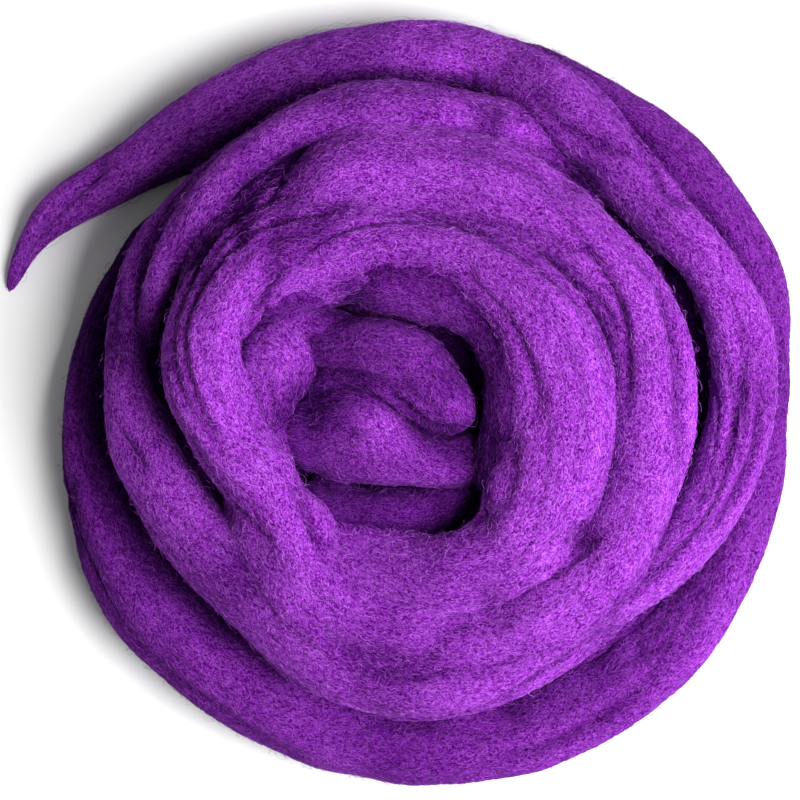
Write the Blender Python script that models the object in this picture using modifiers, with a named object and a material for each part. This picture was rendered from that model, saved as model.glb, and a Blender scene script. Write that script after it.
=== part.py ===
"""A nest of combed wool roving: one soft rope wound round and round on itself, lying on a table.

The nest is one solid of its wound form. Its turns are swept ovals, laid by bearing and reach round the
nest's eye, run together by a voxel remesh and cut flat where they rest. The loose outer end is a second
solid, which lies beside the nest and tapers to its tip.

Tables are in millimetres and degrees. A bearing runs clockwise, seen from above, from the far side (+Y),
which is also the way the roving winds in. It passes 360 where a turn goes on into the next one.
"""

import math
from collections import namedtuple

import bmesh
import bpy
from mathutils import Vector

MM = 0.001
NAME = "wool_roving"

# Bearing and reach place a section of a turn round the eye. Top is the height of its upper side above the
# table, and half_width is half of its width across the turn.
Section = namedtuple("Section", "bearing reach top half_width")
# Folds in the sunken middle run any way, so their sections are placed by x and y from the part's origin.
Fold = namedtuple("Fold", "x y top half_width")

EYE_X = 8.0
EYE_Y = 0.0

# The outermost turn lies low on the table, from below the second turn round to the notch at the loose end.
OUTER_TURN = [
    Section(12, 99, 20, 11),
    Section(24, 100.5, 22, 13),
    Section(38, 100, 24, 13.5),
    Section(60, 99.5, 25, 13.5),
    Section(90, 99.5, 24, 11),
    Section(112, 100.5, 25, 10),
    Section(130, 103, 25, 9.5),
    Section(145, 104, 25, 10),
    Section(162, 103, 25, 12.5),
    Section(180, 102, 25, 14),
    Section(210, 102, 25, 14),
    Section(232, 102.5, 24, 13),
    Section(248, 104, 22, 11),
    Section(262, 104, 18, 7.5),
    Section(276, 101.5, 17, 6.5),
    Section(290, 97, 17, 7.5),
    Section(303, 90, 17, 9),
    Section(318, 81, 15, 8),
]

# The second turn climbs from the loose end over the outermost one and ends under the third.
SECOND_TURN = [
    Section(5, 102, 23, 11.6),
    Section(11, 101.5, 24, 12),
    Section(24, 97, 33, 11.5),
    Section(38, 91, 38, 9.5),
    Section(50, 89.5, 40, 9),
    Section(64, 93.5, 40, 8.5),
    Section(77, 94.5, 40, 10.2),
    Section(90, 93, 40, 10),
    Section(103, 91, 40, 9.5),
    Section(114, 88.5, 40, 9),
    Section(124, 83.5, 40, 11),
    Section(138, 78, 40, 11.5),
    Section(155, 78.5, 40, 11.5),
    Section(175, 81, 39, 12),
    Section(200, 81, 39, 12),
    Section(222, 74.5, 45, 13.8),
    Section(240, 77, 45, 14.3),
    Section(254, 81.5, 42, 12),
    Section(264, 85.5, 40, 10),
    Section(274, 89.5, 38, 6.8),
    Section(288, 91.5, 36, 6.5),
    Section(305, 91.5, 36, 7.5),
    Section(322, 89.5, 37, 8),
    Section(340, 87.5, 36, 7.5),
    Section(358, 85, 35, 9),
    Section(375, 84, 34, 9),
    Section(390, 82, 30, 9),
    Section(402, 76, 26, 8),
]

# The third turn starts under the fan of fibres at the far left, runs once round and rises into that fan.
THIRD_TURN = [
    Section(305, 66, 40, 10),
    Section(322, 69.5, 48, 12),
    Section(338, 71, 53, 13.5),
    Section(355, 68, 55, 14),
    Section(372, 65.5, 55, 14.5),
    Section(390, 63.5, 55, 14),
    Section(407, 64, 55, 14),
    Section(424, 66.5, 55, 13),
    Section(441, 67.5, 55, 12.2),
    Section(460, 68, 54, 12.2),
    Section(480, 69, 53, 13),
    Section(500, 70, 51, 12.5),
    Section(520, 70, 49, 12.5),
    Section(540, 69.5, 48, 12),
    Section(560, 67.5, 49, 12.5),
    Section(575, 61, 51, 13.5),
    Section(590, 55.5, 54, 13),
    Section(604, 55, 57, 12),
    Section(618, 60.5, 59, 12),
    Section(632, 64.5, 60, 12),
    Section(646, 67.5, 60, 12),
    Section(660, 67, 59, 11.8),
    Section(672, 65.5, 58, 12),
    Section(688, 57, 55, 12),
    Section(704, 50, 48, 10),
]

# The inner ring is the highest and widest turn, flattened by its own slack.
INNER_RING = [
    Section(300, 66, 50, 8),
    Section(314, 59, 56, 9.5),
    Section(330, 52, 58, 12),
    Section(350, 48.5, 59, 10),
    Section(374, 44.5, 60.5, 10.5),
    Section(402, 40.5, 62, 12),
    Section(432, 38.5, 62, 15),
    Section(462, 40, 62, 16.5),
    Section(488, 44, 60, 16.5),
    Section(510, 49.5, 57, 14),
    Section(530, 50, 53, 11),
    Section(550, 49, 49, 9.5),
    Section(568, 46, 45, 8),
    Section(584, 40, 38, 7),
]

# The slope from the inner ring down to the sunken middle.
INNER_SLOPE = [
    Section(300, 58, 46, 6),
    Section(314, 52, 50, 7.5),
    Section(325, 47, 52.5, 9),
    Section(335, 42, 54, 11.5),
    Section(352, 37.5, 55, 12),
    Section(376, 33.5, 56, 12),
    Section(402, 31.5, 56.5, 11),
    Section(430, 29, 56, 10),
    Section(456, 27, 54.5, 8.5),
    Section(480, 29, 51, 7.5),
    Section(500, 34.5, 47, 6),
]

# A bright stream that lies on the second turn's inner side at the upper left and ends in a point.
RIM_FOLD = [
    Section(281, 86, 33, 2),
    Section(287, 86, 40, 3.2),
    Section(294, 86.5, 45, 5),
    Section(304, 87.5, 48, 6),
    Section(318, 88, 48, 6.5),
    Section(332, 88.5, 46, 6.5),
    Section(346, 88, 42, 6),
    Section(360, 86, 38, 4.5),
]

# A stream of the fan of fibres between the second and third turns at the far left.
FAN_FOLD = [
    Section(288, 73, 45, 4),
    Section(297, 75, 50, 5.5),
    Section(309, 76.5, 52, 6.5),
    Section(325, 79.5, 49, 7),
    Section(340, 82.5, 44, 7),
    Section(354, 84, 39, 6),
    Section(368, 83.5, 34, 4.5),
]

# The last of the roving is tucked into the middle in short folds: a knuckle at the left, a thin turn above
# it, the round upper fold, the broad flat fold, and the low one in the ring's near side.
KNUCKLE = [
    Fold(-44, 19, 47, 4.5),
    Fold(-39.5, 13.5, 52, 8.3),
    Fold(-37, 6, 51.5, 8.6),
    Fold(-37, -2, 48.5, 7.5),
    Fold(-35, -10, 45, 6),
    Fold(-31, -18, 41, 4.5),
]

THIN_FOLD = [
    Fold(-49, 14, 44, 4),
    Fold(-41, 20, 48, 5),
    Fold(-30, 24, 48, 5),
    Fold(-19, 22.5, 45, 4.5),
    Fold(-9, 18, 41, 4),
]

UPPER_FOLD = [
    Fold(-30, 14.5, 43, 6),
    Fold(-20, 15, 50, 8),
    Fold(-9, 14, 54.5, 9.6),
    Fold(2, 9.5, 57, 10.8),
    Fold(10, 2.5, 56.5, 10.2),
    Fold(14.5, -2.5, 53.5, 8.7),
    Fold(17, -6, 47, 6),
]

BROAD_FOLD = [
    Fold(-38, -6, 41, 7),
    Fold(-30, -6.5, 47, 13),
    Fold(-20, -7, 50, 16.5),
    Fold(-11, -8.5, 51.5, 17),
    Fold(-2, -12.5, 51.5, 14.5),
    Fold(7.5, -16, 50, 11),
    Fold(16.5, -17.5, 47, 8.5),
    Fold(24, -17, 41, 5.5),
]

LOW_FOLD = [
    Fold(-27, -27, 39, 6),
    Fold(-19, -31, 44, 7.5),
    Fold(-6, -34, 45, 8.5),
    Fold(8, -33.5, 44, 8.5),
    Fold(18, -26, 41, 7),
    Fold(24, -18, 37, 5),
]

# The loose end lies on the table, so its height follows from its width.
LOOSE_END = [
    Section(286.5, 130.4, None, 2.6),
    Section(290.5, 129.5, None, 3.4),
    Section(294.5, 127.5, None, 4.8),
    Section(299, 123.5, None, 6.6),
    Section(305, 116.5, None, 8.2),
    Section(312, 111, None, 10.6),
    Section(321, 106.5, None, 12.4),
    Section(332, 105.5, None, 13),
    Section(345, 104.5, None, 13),
    Section(358, 103, None, 12.4),
    Section(369, 102, None, 12),
]

# Thickness of a turn as a share of its width.
ROUND = 0.95
SLACK = 0.75
FLAT = 0.62
LOOSE = 0.98
RESTS_INTO_TABLE = 0.8  # how far the loose end's oval is pressed flat by its weight

# Hidden turns below the visible ones, each level one plain spiral.
Level = namedtuple("Level", "outer_reach top")
HIDDEN_LEVELS = [Level(90, 23), Level(60, 36)]
HIDDEN_FROM = 60  # bearing where each level starts
HIDDEN_INNER_REACH = 0
HIDDEN_PITCH = 18
HIDDEN_HALF_WIDTH = 15
HIDDEN_STEP = 30  # degrees between sections

WOOL_COLOUR = (0.19, 0.03, 0.36, 1)
WOOL_ROUGHNESS = 0.9

SIDES_PER_QUARTER = 4
NEST_STEPS = 6  # between two sections of a turn or fold
END_STEPS = 4
MERGE_WITHIN = 0.00001
VOXEL = 2.0 * MM
SMOOTHING_ROUNDS = 8
SMOOTHING_SHARE = 0.5
NEST_TRIANGLES = 9800
CLEARANCE = 0.35  # between the loose end and the nest
TABLE_SIDE = 400
TABLE_DEPTH = 40


def clear_scene():
    for obj in list(bpy.data.objects):
        bpy.data.objects.remove(obj)


def new_collection(name):
    collection = bpy.data.collections.new(name)
    bpy.context.scene.collection.children.link(collection)
    return collection


def wool_material():
    material = bpy.data.materials.new("purple_wool")
    material.use_nodes = True
    shader = material.node_tree.nodes["Principled BSDF"]
    shader.inputs["Base Color"].default_value = WOOL_COLOUR
    shader.inputs["Roughness"].default_value = WOOL_ROUGHNESS
    shader.inputs["Metallic"].default_value = 0
    return material


def around_eye(section, thickness):
    """The middle of a turn's oval, in millimetres."""
    angle = math.radians(section.bearing)
    half_height = thickness * section.half_width
    if section.top is None:
        height = half_height - RESTS_INTO_TABLE
    else:
        height = section.top - half_height
    x = EYE_X + section.reach * math.sin(angle)
    y = EYE_Y + section.reach * math.cos(angle)
    return Vector((x, y, height)), section.half_width


def across_middle(fold, thickness):
    return Vector((fold.x, fold.y, fold.top - thickness * fold.half_width)), fold.half_width


def oval(thickness, helpers):
    """A unit oval that a curve sweeps, scaled by each point's radius."""
    curve = bpy.data.curves.new("oval", "CURVE")
    curve.dimensions = "2D"
    curve.resolution_u = SIDES_PER_QUARTER
    spline = curve.splines.new("BEZIER")
    spline.bezier_points.add(3)
    for index, point in enumerate(spline.bezier_points):
        angle = -math.pi / 2 * index
        point.co = (math.cos(angle), thickness * math.sin(angle), 0)
        point.handle_left_type = "AUTO"
        point.handle_right_type = "AUTO"
    spline.use_cyclic_u = True
    obj = bpy.data.objects.new("oval", curve)
    obj.hide_render = True
    helpers.objects.link(obj)
    return obj


def strand(name, placed, thickness, steps, helpers):
    """A closed mesh of an oval swept through the placed (middle, half width) sections."""
    curve = bpy.data.curves.new(name, "CURVE")
    curve.dimensions = "3D"
    curve.twist_mode = "Z_UP"
    curve.resolution_u = steps
    curve.use_fill_caps = True
    curve.bevel_mode = "OBJECT"
    curve.bevel_object = oval(thickness, helpers)
    spline = curve.splines.new("BEZIER")
    spline.bezier_points.add(len(placed) - 1)
    for point, (middle, half_width) in zip(spline.bezier_points, placed):
        point.co = middle * MM
        point.radius = half_width * MM
        point.handle_left_type = "AUTO"
        point.handle_right_type = "AUTO"
    source = bpy.data.objects.new(name, curve)
    helpers.objects.link(source)
    evaluated = source.evaluated_get(bpy.context.evaluated_depsgraph_get())
    mesh = bpy.data.meshes.new_from_object(evaluated)
    mesh.name = name
    bpy.data.objects.remove(source)
    work = bmesh.new()
    work.from_mesh(mesh)
    bmesh.ops.remove_doubles(work, verts=work.verts, dist=MERGE_WITHIN)
    bmesh.ops.recalc_face_normals(work, faces=work.faces)
    work.to_mesh(mesh)
    work.free()
    return mesh


def hidden_spiral(level):
    """Sections of a plain spiral that fills one level below the visible turns."""
    degrees = 360 * (level.outer_reach - HIDDEN_INNER_REACH) / HIDDEN_PITCH
    sections = []
    for step in range(int(degrees // HIDDEN_STEP) + 1):
        turned = step * HIDDEN_STEP
        reach = level.outer_reach - HIDDEN_PITCH * turned / 360
        sections.append(Section(HIDDEN_FROM + turned, reach, level.top, HIDDEN_HALF_WIDTH))
    return sections


def nest_strands(helpers):
    turns = [(OUTER_TURN, ROUND), (SECOND_TURN, ROUND), (THIRD_TURN, ROUND), (INNER_RING, SLACK)]
    turns += [(INNER_SLOPE, ROUND), (RIM_FOLD, ROUND), (FAN_FOLD, ROUND)]
    turns += [(hidden_spiral(level), ROUND) for level in HIDDEN_LEVELS]
    meshes = []
    for sections, thickness in turns:
        placed = [around_eye(section, thickness) for section in sections]
        meshes.append(strand("turn", placed, thickness, NEST_STEPS, helpers))
    round_folds = [KNUCKLE, THIN_FOLD, UPPER_FOLD, LOW_FOLD]
    middle = [(folds, ROUND) for folds in round_folds] + [(BROAD_FOLD, FLAT)]
    for folds, thickness in middle:
        placed = [across_middle(fold, thickness) for fold in folds]
        meshes.append(strand("fold", placed, thickness, NEST_STEPS, helpers))
    return meshes


def joined(name, meshes, collection):
    work = bmesh.new()
    for mesh in meshes:
        work.from_mesh(mesh)
    whole = bpy.data.meshes.new(name)
    work.to_mesh(whole)
    work.free()
    obj = bpy.data.objects.new(name, whole)
    collection.objects.link(obj)
    return obj


def shells(work):
    """The separate closed surfaces of a mesh, each as its faces."""
    left = set(work.faces)
    found = []
    while left:
        front = [left.pop()]
        shell = list(front)
        while front:
            face = front.pop()
            for edge in face.edges:
                for other in edge.link_faces:
                    if other in left:
                        left.remove(other)
                        front.append(other)
                        shell.append(other)
        found.append(shell)
    return found


def settle(obj):
    """Applies the modifiers and keeps the largest surface, without sealed hollows or shaved-off shreds."""
    bpy.context.view_layer.update()
    evaluated = obj.evaluated_get(bpy.context.evaluated_depsgraph_get())
    mesh = bpy.data.meshes.new_from_object(evaluated)
    work = bmesh.new()
    work.from_mesh(mesh)
    skins = sorted(shells(work), key=len)
    rest = [face for skin in skins[:-1] for face in skin]
    bmesh.ops.delete(work, geom=rest, context="FACES")
    bmesh.ops.triangulate(work, faces=work.faces)
    work.to_mesh(mesh)
    work.free()
    obj.modifiers.clear()
    obj.data = mesh


def run_together(obj):
    """Fuses the crossing strands into one skin and softens its creases."""
    remesh = obj.modifiers.new("run_together", "REMESH")
    remesh.mode = "VOXEL"
    remesh.voxel_size = VOXEL
    soften = obj.modifiers.new("soften", "SMOOTH")
    soften.factor = SMOOTHING_SHARE
    soften.iterations = SMOOTHING_ROUNDS
    settle(obj)


def thin_out(obj, triangles):
    thin = obj.modifiers.new("thin_out", "DECIMATE")
    thin.ratio = triangles / len(obj.data.polygons)


def cut(obj, cutter):
    boolean = obj.modifiers.new("cut_" + cutter.name, "BOOLEAN")
    boolean.operation = "DIFFERENCE"
    boolean.object = cutter


def as_cutter(obj):
    obj.hide_render = True
    obj.display_type = "WIRE"
    return obj


def table_cutter(cutters):
    mesh = bpy.data.meshes.new("below_table")
    work = bmesh.new()
    bmesh.ops.create_cube(work, size=1)
    bmesh.ops.scale(work, verts=work.verts, vec=(TABLE_SIDE * MM, TABLE_SIDE * MM, TABLE_DEPTH * MM))
    bmesh.ops.translate(work, verts=work.verts, vec=(0, 0, -TABLE_DEPTH / 2 * MM))
    work.to_mesh(mesh)
    work.free()
    obj = bpy.data.objects.new("below_table", mesh)
    cutters.objects.link(obj)
    return as_cutter(obj)


def loose_end_sections(grow):
    """The loose end's sections, or those of the room it needs when grow is over 0."""
    placed = [around_eye(section, LOOSE) for section in LOOSE_END]
    placed = [(middle, half_width + grow) for middle, half_width in placed]
    along = (placed[-1][0] - placed[-2][0]).normalized()
    placed[-1] = (placed[-1][0] + along * grow, placed[-1][1])
    return placed


def main():
    clear_scene()
    parts = new_collection(NAME)
    cutters = new_collection("cutters")
    wool = wool_material()
    table = table_cutter(cutters)

    nest = joined("wound_nest", nest_strands(cutters), parts)
    run_together(nest)
    room_mesh = strand("loose_end_room", loose_end_sections(CLEARANCE), LOOSE, END_STEPS, cutters)
    room = as_cutter(joined("loose_end_room", [room_mesh], cutters))
    thin_out(nest, NEST_TRIANGLES)
    cut(nest, table)
    cut(nest, room)
    settle(nest)

    end_mesh = strand("loose_end", loose_end_sections(0), LOOSE, END_STEPS, cutters)
    loose_end = joined("loose_end", [end_mesh], parts)
    cut(loose_end, table)

    for obj in (nest, loose_end):
        obj.data.materials.append(wool)
        obj.data.shade_smooth()


main()
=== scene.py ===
"""Looks of a nest of purple combed wool roving.

Each turn and fold of the nest is a swept strand with its own lumps, combed ridges and creases, under a
coat of short crimped fibres. Tables are in millimetres and degrees, and meshes are made in metres. A
bearing runs clockwise, seen from above, from the far side (+Y), and passes 360 where a turn goes on.
"""

import math
from collections import namedtuple

import bpy
import numpy as np
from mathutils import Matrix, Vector

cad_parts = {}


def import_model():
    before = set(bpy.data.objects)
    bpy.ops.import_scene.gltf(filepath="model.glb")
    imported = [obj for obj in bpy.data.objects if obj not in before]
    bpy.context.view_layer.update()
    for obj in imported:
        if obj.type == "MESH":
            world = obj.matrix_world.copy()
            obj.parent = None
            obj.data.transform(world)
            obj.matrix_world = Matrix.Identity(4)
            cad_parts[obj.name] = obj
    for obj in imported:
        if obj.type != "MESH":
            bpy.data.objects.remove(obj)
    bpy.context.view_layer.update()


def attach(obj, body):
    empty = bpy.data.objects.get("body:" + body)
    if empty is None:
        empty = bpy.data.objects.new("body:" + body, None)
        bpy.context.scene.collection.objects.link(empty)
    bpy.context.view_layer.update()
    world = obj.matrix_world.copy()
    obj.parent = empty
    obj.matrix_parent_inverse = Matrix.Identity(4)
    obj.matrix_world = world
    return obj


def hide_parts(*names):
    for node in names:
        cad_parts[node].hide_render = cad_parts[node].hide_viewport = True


MM = 0.001
BODY = "root"

# Bearing and reach place a section of a turn round the eye. Top is the height of its upper side above
# the table, and half_width is half of its width across the turn.
Section = namedtuple("Section", "bearing reach top half_width")
Fold = namedtuple("Fold", "x y top half_width")

EYE_X = 8.0
EYE_Y = 0.0

OUTER_TURN = [
    Section(12, 99, 20, 11),
    Section(24, 100.5, 22, 13),
    Section(38, 100, 24, 13.5),
    Section(60, 99.5, 25, 13.5),
    Section(90, 99.5, 24, 11),
    Section(112, 100.5, 25, 10),
    Section(130, 103, 25, 9.5),
    Section(145, 104, 25, 10),
    Section(162, 103, 25, 12.5),
    Section(180, 102, 25, 14),
    Section(210, 102, 25, 14),
    Section(232, 102.5, 24, 13),
    Section(248, 104, 22, 11),
    Section(262, 104, 18, 7.5),
    Section(276, 101.5, 17, 6.5),
    Section(290, 97, 17, 7.5),
    Section(303, 90, 17, 9),
    Section(318, 81, 15, 8),
]

SECOND_TURN = [
    Section(-12, 103, 19, 6.5),
    Section(-4, 102.5, 22, 9.5),
    Section(5, 102, 23, 11.6),
    Section(11, 101.5, 24, 12),
    Section(24, 97, 33, 11.5),
    Section(38, 91, 38, 9.5),
    Section(50, 89.5, 40, 9),
    Section(64, 93.5, 40, 8.5),
    Section(77, 94.5, 40, 10.2),
    Section(90, 93, 40, 10),
    Section(103, 91, 40, 9.5),
    Section(114, 88.5, 40, 9),
    Section(124, 83.5, 40, 11),
    Section(138, 78, 40, 11.5),
    Section(155, 78.5, 40, 11.5),
    Section(175, 81, 39, 12),
    Section(200, 81, 39, 12),
    Section(222, 74.5, 45, 13.8),
    Section(240, 77, 45, 14.3),
    Section(254, 81.5, 42, 12),
    Section(264, 85.5, 40, 10),
    Section(274, 89.5, 38, 6.8),
    Section(288, 91.5, 36, 6.5),
    Section(305, 91.5, 36, 7.5),
    Section(322, 89.5, 37, 8),
    Section(340, 87.5, 36, 7.5),
    Section(358, 85, 35, 9),
    Section(375, 84, 34, 9),
    Section(390, 82, 30, 9),
    Section(402, 76, 26, 8),
]

THIRD_TURN = [
    Section(305, 66, 40, 10),
    Section(322, 69.5, 48, 12),
    Section(338, 71, 53, 13.5),
    Section(355, 68, 55, 14),
    Section(372, 65.5, 55, 14.5),
    Section(390, 63.5, 55, 14),
    Section(407, 64, 55, 14),
    Section(424, 66.5, 55, 13),
    Section(441, 67.5, 55, 12.2),
    Section(460, 68, 54, 12.2),
    Section(480, 69, 53, 13),
    Section(500, 70, 51, 12.5),
    Section(520, 70, 49, 12.5),
    Section(540, 69.5, 48, 12),
    Section(560, 67.5, 49, 12.5),
    Section(575, 61, 51, 13.5),
    Section(590, 55.5, 54, 13),
    Section(604, 55, 57, 12),
    Section(618, 60.5, 59, 12),
    Section(632, 64.5, 60, 12),
    Section(646, 67.5, 60, 12),
    Section(660, 67, 59, 11.8),
    Section(672, 65.5, 58, 12),
    Section(688, 57, 55, 12),
    Section(704, 50, 48, 10),
]

# A bright stream that lies on the second turn's inner side at the upper left and ends in a point.
RIM_FOLD = [
    Section(281, 86, 33, 2),
    Section(287, 86, 40, 3.2),
    Section(294, 86.5, 45, 5),
    Section(304, 87.5, 48, 6),
    Section(318, 88, 48, 6.5),
    Section(332, 88.5, 46, 6.5),
    Section(346, 88, 42, 6),
    Section(360, 86, 38, 4.5),
    Section(374, 84.5, 33, 2),
]

# A stream of the fan of fibres between the second and third turns at the far left.
FAN_FOLD = [
    Section(288, 73, 45, 4),
    Section(297, 75, 50, 5.5),
    Section(309, 76.5, 52, 6.5),
    Section(325, 79.5, 49, 7),
    Section(340, 82.5, 44, 7),
    Section(354, 84, 39, 6),
    Section(368, 83.5, 34, 4.5),
]

INNER_RING = [
    Section(300, 66, 50, 8),
    Section(314, 59, 56, 9.5),
    Section(330, 52, 58, 12),
    Section(350, 48.5, 59, 10),
    Section(374, 44.5, 60.5, 10.5),
    Section(402, 40.5, 62, 12),
    Section(432, 38.5, 62, 15),
    Section(462, 40, 62, 16.5),
    Section(488, 44, 60, 16.5),
    Section(510, 49.5, 57, 14),
    Section(530, 50, 53, 11),
    Section(550, 49, 49, 9.5),
    Section(568, 46, 45, 8),
    Section(584, 40, 38, 7),
]

# The slope between the inner ring and the sunken middle, dark with the painted shade that FORMS gives
# it.
INNER_SLOPE = [
    Section(300, 58, 46, 6),
    Section(314, 52, 50, 7.5),
    Section(325, 47, 52.5, 9),
    Section(335, 42, 54, 11.5),
    Section(352, 37.5, 55, 12),
    Section(376, 33.5, 56, 12),
    Section(402, 31.5, 56.5, 11),
    Section(430, 29, 56, 10),
    Section(456, 27, 54.5, 8.5),
    Section(480, 29, 51, 7.5),
    Section(500, 34.5, 47, 6),
]

KNUCKLE = [
    Fold(-44, 19, 47, 4.5),
    Fold(-39.5, 13.5, 52, 8.3),
    Fold(-37, 6, 51.5, 8.6),
    Fold(-37, -2, 48.5, 7.5),
    Fold(-35, -10, 45, 6),
    Fold(-31, -18, 41, 4.5),
]
THIN_FOLD = [
    Fold(-49, 14, 44, 4),
    Fold(-41, 20, 48, 5),
    Fold(-30, 24, 48, 5),
    Fold(-19, 22.5, 45, 4.5),
    Fold(-9, 18, 41, 4),
]
UPPER_FOLD = [
    Fold(-30, 14.5, 43, 6),
    Fold(-20, 15, 50, 8),
    Fold(-9, 14, 54.5, 9.6),
    Fold(2, 9.5, 57, 10.8),
    Fold(10, 2.5, 56.5, 10.2),
    Fold(14.5, -2.5, 53.5, 8.7),
    Fold(17, -6, 47, 6),
]
BROAD_FOLD = [
    Fold(-38, -6, 41, 7),
    Fold(-30, -6.5, 47, 13),
    Fold(-20, -7, 50, 16.5),
    Fold(-11, -8.5, 51.5, 17),
    Fold(-2, -12.5, 51.5, 14.5),
    Fold(7.5, -16, 50, 11),
    Fold(16.5, -17.5, 47, 8.5),
    Fold(24, -17, 41, 5.5),
]
LOW_FOLD = [
    Fold(-27, -27, 39, 6),
    Fold(-19, -31, 44, 7.5),
    Fold(-6, -34, 45, 8.5),
    Fold(8, -33.5, 44, 8.5),
    Fold(18, -26, 41, 7),
    Fold(24, -18, 37, 5),
]

# The loose end lies on the table, so its height follows from its width.
LOOSE_END = [
    Section(284.6, 130.8, None, 0.9),
    Section(286.5, 130.4, None, 2.2),
    Section(290.5, 129.5, None, 3.4),
    Section(294.5, 127.5, None, 4.8),
    Section(299, 123.5, None, 6.6),
    Section(305, 116.5, None, 8.2),
    Section(312, 111, None, 10.6),
    Section(321, 106.5, None, 12.4),
    Section(332, 105.5, None, 13),
    Section(345, 104.5, None, 13),
    Section(358, 103, None, 12.4),
    Section(369, 102, None, 11.5),
    Section(377, 101.5, None, 9),
]
RESTS_INTO_TABLE = 0.8

ROUND = 0.95
SLACK = 0.75
FLAT = 0.62
LOOSE = 0.98

# Each strand with its thickness as a share of its width, how softly it runs into its neighbours, in
# millimetres, its painted shade as the share of full light its dye is painted with, and the seed of its
# lumps.
Form = namedtuple("Form", "name rows thickness fillet shade seed")
FORMS = [
    Form("outer_turn", OUTER_TURN, ROUND, 5.0, 0.52, 0),
    Form("second_turn", SECOND_TURN, ROUND, 5.0, 0.84, 1),
    Form("third_turn", THIRD_TURN, ROUND, 5.0, 0.86, 2),
    Form("inner_ring", INNER_RING, SLACK, 5.0, 0.95, 3),
    Form("inner_slope", INNER_SLOPE, ROUND, 8.0, 0.50, 4),
    Form("rim_fold", RIM_FOLD, ROUND, 5.0, 0.82, 6),
    Form("fan_fold", FAN_FOLD, ROUND, 6.0, 0.82, 5),
    Form("knuckle", KNUCKLE, ROUND, 4.0, 0.76, 20),
    Form("thin_fold", THIN_FOLD, ROUND, 3.0, 0.58, 21),
    Form("upper_fold", UPPER_FOLD, ROUND, 2.0, 0.50, 22),
    Form("broad_fold", BROAD_FOLD, FLAT, 3.5, 0.56, 23),
    Form("low_fold", LOW_FOLD, ROUND, 4.0, 0.40, 25),
]
LOOSE_FORM = Form("loose_end_wool", LOOSE_END, LOOSE, 3.0, 0.84, 30)

Level = namedtuple("Level", "outer_reach top")
HIDDEN_LEVELS = [Level(90, 23), Level(60, 36)]
HIDDEN_FROM = 60
HIDDEN_PITCH = 18
HIDDEN_HALF_WIDTH = 15
HIDDEN_STEP = 30
# the share of full light painted on the dye of the hidden turns
HIDDEN_LIGHT = 0.4
HIDDEN_SEED = 40

# Creases pressed into the strands' upper sides and painted darker, in plan: depth and half width, then
# points of the line.
Crease = namedtuple("Crease", "depth width line")
CREASES = [
    # the inner ring against the third turn, and its own folds
    Crease(1.6, 1.5, [(-9, 56), (12, 54), (24, 50), (36, 43), (46, 36), (53, 29), (60, 16), (65, 4)]),
    Crease(0.8, 2.2, [(30, 40), (42, 30), (50, 18), (54, 4), (54, -12)]),
    # folds of the third turn on the right
    Crease(1.7, 1.4, [(44, 60), (54, 47), (60, 38), (65, 28), (67, 15), (67, 4), (65, -6)]),
    Crease(1.4, 1.6, [(60, 46), (71, 40), (77, 32), (80, 22), (82, 10), (82, -4), (83, -18), (82, -32)]),
    Crease(0.8, 2.2, [(12, 78), (30, 72), (46, 62), (56, 55)]),
    # folds of the second turn on the right
    Crease(1.6, 1.5, [(107, 6), (106, -14), (101, -26), (94, -37), (88, -44)]),
    Crease(1.1, 1.7, [(98, 30), (102, 14), (100, -4), (96, -18), (88, -32)]),
    Crease(1.5, 1.6, [(39, 92), (46, 84), (52, 80), (60, 76), (68, 74)]),
    # the outer turn on the right
    Crease(1.4, 1.5, [(48, 103), (60, 93), (66, 86), (73, 76), (80, 62), (90, 58), (98, 47), (106, 38)]),
    # the fan at the left where the third turn spreads
    Crease(1.4, 2.6, [(-56, 50), (-59, 43), (-61, 33)]),
    Crease(1.6, 2.8, [(-41, 69), (-46.5, 60.5), (-48, 50), (-47, 41)]),
    Crease(1.1, 3.6, [(-26, 77), (-35, 69), (-41, 60)]),
    Crease(1.0, 3.0, [(-31, 62), (-36, 52), (-38, 42), (-36, 30)]),
    # between and beside the second turn's folds at the left
    Crease(1.9, 1.6, [(-73, 1), (-66, -9), (-60, -19), (-51, -31), (-43, -38), (-37, -44)]),
    Crease(1.4, 1.5, [(-85, -7), (-80, -15), (-75, -21)]),
    Crease(1.2, 1.8, [(-84, 40), (-85, 30), (-86, 20), (-84, 8)]),
    Crease(1.0, 1.8, [(-95, 34), (-98, 18), (-96, 2), (-92, -12)]),
    # the outer and the second turn at the lower left and along the bottom
    Crease(1.3, 1.6, [(-90, -60), (-81, -71), (-69, -83), (-55, -93), (-43, -101), (-30, -107)]),
    Crease(1.0, 1.8, [(-98, -20), (-99, -36), (-94, -50)]),
    Crease(1.0, 2.0, [(24, -108), (42, -104), (60, -95), (74, -84)]),
    Crease(0.7, 2.4, [(-6, -81), (14, -81), (30, -80)]),
    Crease(0.9, 2.4, [(-40, -62), (-24, -72), (-4, -77), (18, -76)]),
    # under the round end of the upper fold, and the soft hollow at the left of the broad one
    Crease(2.4, 1.6, [(-6, 4), (0, -1), (5.5, -7), (11.5, -9.8), (18, -9.5), (23, -8)]),
    Crease(1.2, 5.0, [(-25, 9), (-28, 0), (-29, -10)]),
]
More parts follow.
